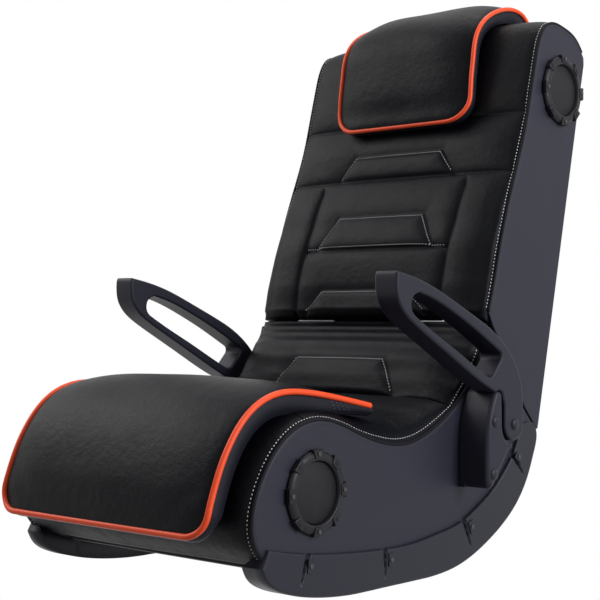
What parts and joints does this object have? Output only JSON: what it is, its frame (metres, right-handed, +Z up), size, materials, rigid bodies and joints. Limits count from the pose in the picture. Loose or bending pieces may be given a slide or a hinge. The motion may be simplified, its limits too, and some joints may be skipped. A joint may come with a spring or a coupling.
{
  "type": "gaming rocker chair",
  "caption": "Floor rocker with curved rails, folding padded back, leg pad, head pillow, slotted swing arms and side speakers.",
  "frame": {"origin": "on the floor, in the middle of the whole length and width", "axes": "+X towards the sitter's left (the side shown nearest in the picture), +Y towards the rear, +Z up"},
  "size_m": [0.5366, 0.7982, 0.823],
  "materials": {
    "amp_housing": "matt",
    "arm_plastic": "matt moulded",
    "fixing_black": "satin black",
    "frame_wood": "bare board",
    "back_cover": "coated fabric with a grained face",
    "panel_slate": "board wrapped in smooth vinyl",
    "trim_black": "satin moulded",
    "driver_metal": "satin",
    "grille_black": "fine perforated",
    "welt_black": "satin piping",
    "panel_plastic": "satin moulded",
    "stop_rubber": "matt",
    "cover_black": "soft grained synthetic leather",
    "pillow_cover": "coated fabric with a grained face",
    "piping_orange": "satin piping",
    "hinge_steel": "plated",
    "socket_brass": "plated",
    "strap_fabric": "woven",
    "rail_plastic": "matt moulded",
    "under_fabric": "nonwoven"
  },
  "bodies": {
    "base": {"amplifier_box": "amp_housing", "arm_bracket_left": "arm_plastic", "arm_bracket_right": "arm_plastic", "arm_pin_left": "fixing_black", "arm_pin_right": "fixing_black", "base_front_batten": "frame_wood", "base_middle_batten": "frame_wood", "base_rear_board": "frame_wood", "base_side_left": "panel_slate", "base_side_right": "panel_slate", "base_speaker_bezel_left": "trim_black", "base_speaker_bezel_right": "trim_black", "base_speaker_driver_left": "driver_metal", "base_speaker_driver_right": "driver_metal", "base_speaker_grilles": "grille_black", "base_speaker_screws": "fixing_black", "base_welts": "welt_black", "bracket_bolts": "fixing_black", "control_panel": "panel_plastic", "fold_stop_pads": "stop_rubber", "front_roll": "cover_black", "hinge_base_leaves": "hinge_steel", "hinge_pins": "hinge_steel", "input_sockets": "socket_brass", "leg_pad": "cover_black", "leg_pad_piping": "piping_orange", "lumbar_cushion": "cover_black", "rail_left": "rail_plastic", "rail_right": "rail_plastic", "rail_screws": "fixing_black", "seat_cushion": "cover_black", "seat_shell": "frame_wood", "under_cover": "under_fabric"},
    "backrest": {"back_battens": "frame_wood", "back_cushion": "back_cover", "back_rear_panel": "panel_slate", "back_shell": "frame_wood", "back_side_left": "panel_slate", "back_side_right": "panel_slate", "back_speaker_bezel_left": "trim_black", "back_speaker_bezel_right": "trim_black", "back_speaker_driver_left": "driver_metal", "back_speaker_driver_right": "driver_metal", "back_speaker_grilles": "grille_black", "back_speaker_screws": "fixing_black", "back_under_board": "frame_wood", "back_welts": "welt_black", "head_pillow": "pillow_cover", "head_pillow_piping": "piping_orange", "hinge_back_leaves": "hinge_steel", "pillow_strap": "strap_fabric", "subwoofer_driver": "driver_metal", "subwoofer_grille": "grille_black"},
    "armrest_left": {"armrest_left": "arm_plastic"},
    "armrest_right": {"armrest_right": "arm_plastic"},
    "volume_knob": {"volume_knob": "trim_black"},
    "bass_knob": {"bass_knob": "trim_black"},
    "power_button": {"power_button": "trim_black"}
  },
  "joints": [
    {"name": "back_fold", "type": "hinge", "parent": "base", "child": "backrest", "pos_m": [0, 0.1412, 0.334], "axis": [1, 0, 0], "range_deg": [0, 95]},
    {"name": "arm_left_swing", "type": "hinge", "parent": "base", "child": "armrest_left", "pos_m": [0.246, 0.1282, 0.195], "axis": [-1, 0, 0], "range_deg": [0, 65]},
    {"name": "arm_right_swing", "type": "hinge", "parent": "base", "child": "armrest_right", "pos_m": [-0.246, 0.1282, 0.195], "axis": [-1, 0, 0], "range_deg": [0, 65]},
    {"name": "volume_turn", "type": "hinge", "parent": "base", "child": "volume_knob", "pos_m": [-0.2175, -0.1098, 0.112], "axis": [-1, 0, 0], "range_deg": [-140, 140]},
    {"name": "bass_turn", "type": "hinge", "parent": "base", "child": "bass_knob", "pos_m": [-0.2175, -0.0798, 0.112], "axis": [-1, 0, 0], "range_deg": [-140, 140]},
    {"name": "power_press", "type": "slide", "parent": "base", "child": "power_button", "axis": [1, 0, 0], "range_m": [0, 0.0025], "stiffness_N_per_m": 200, "springref_m": -0.002}
  ]
}
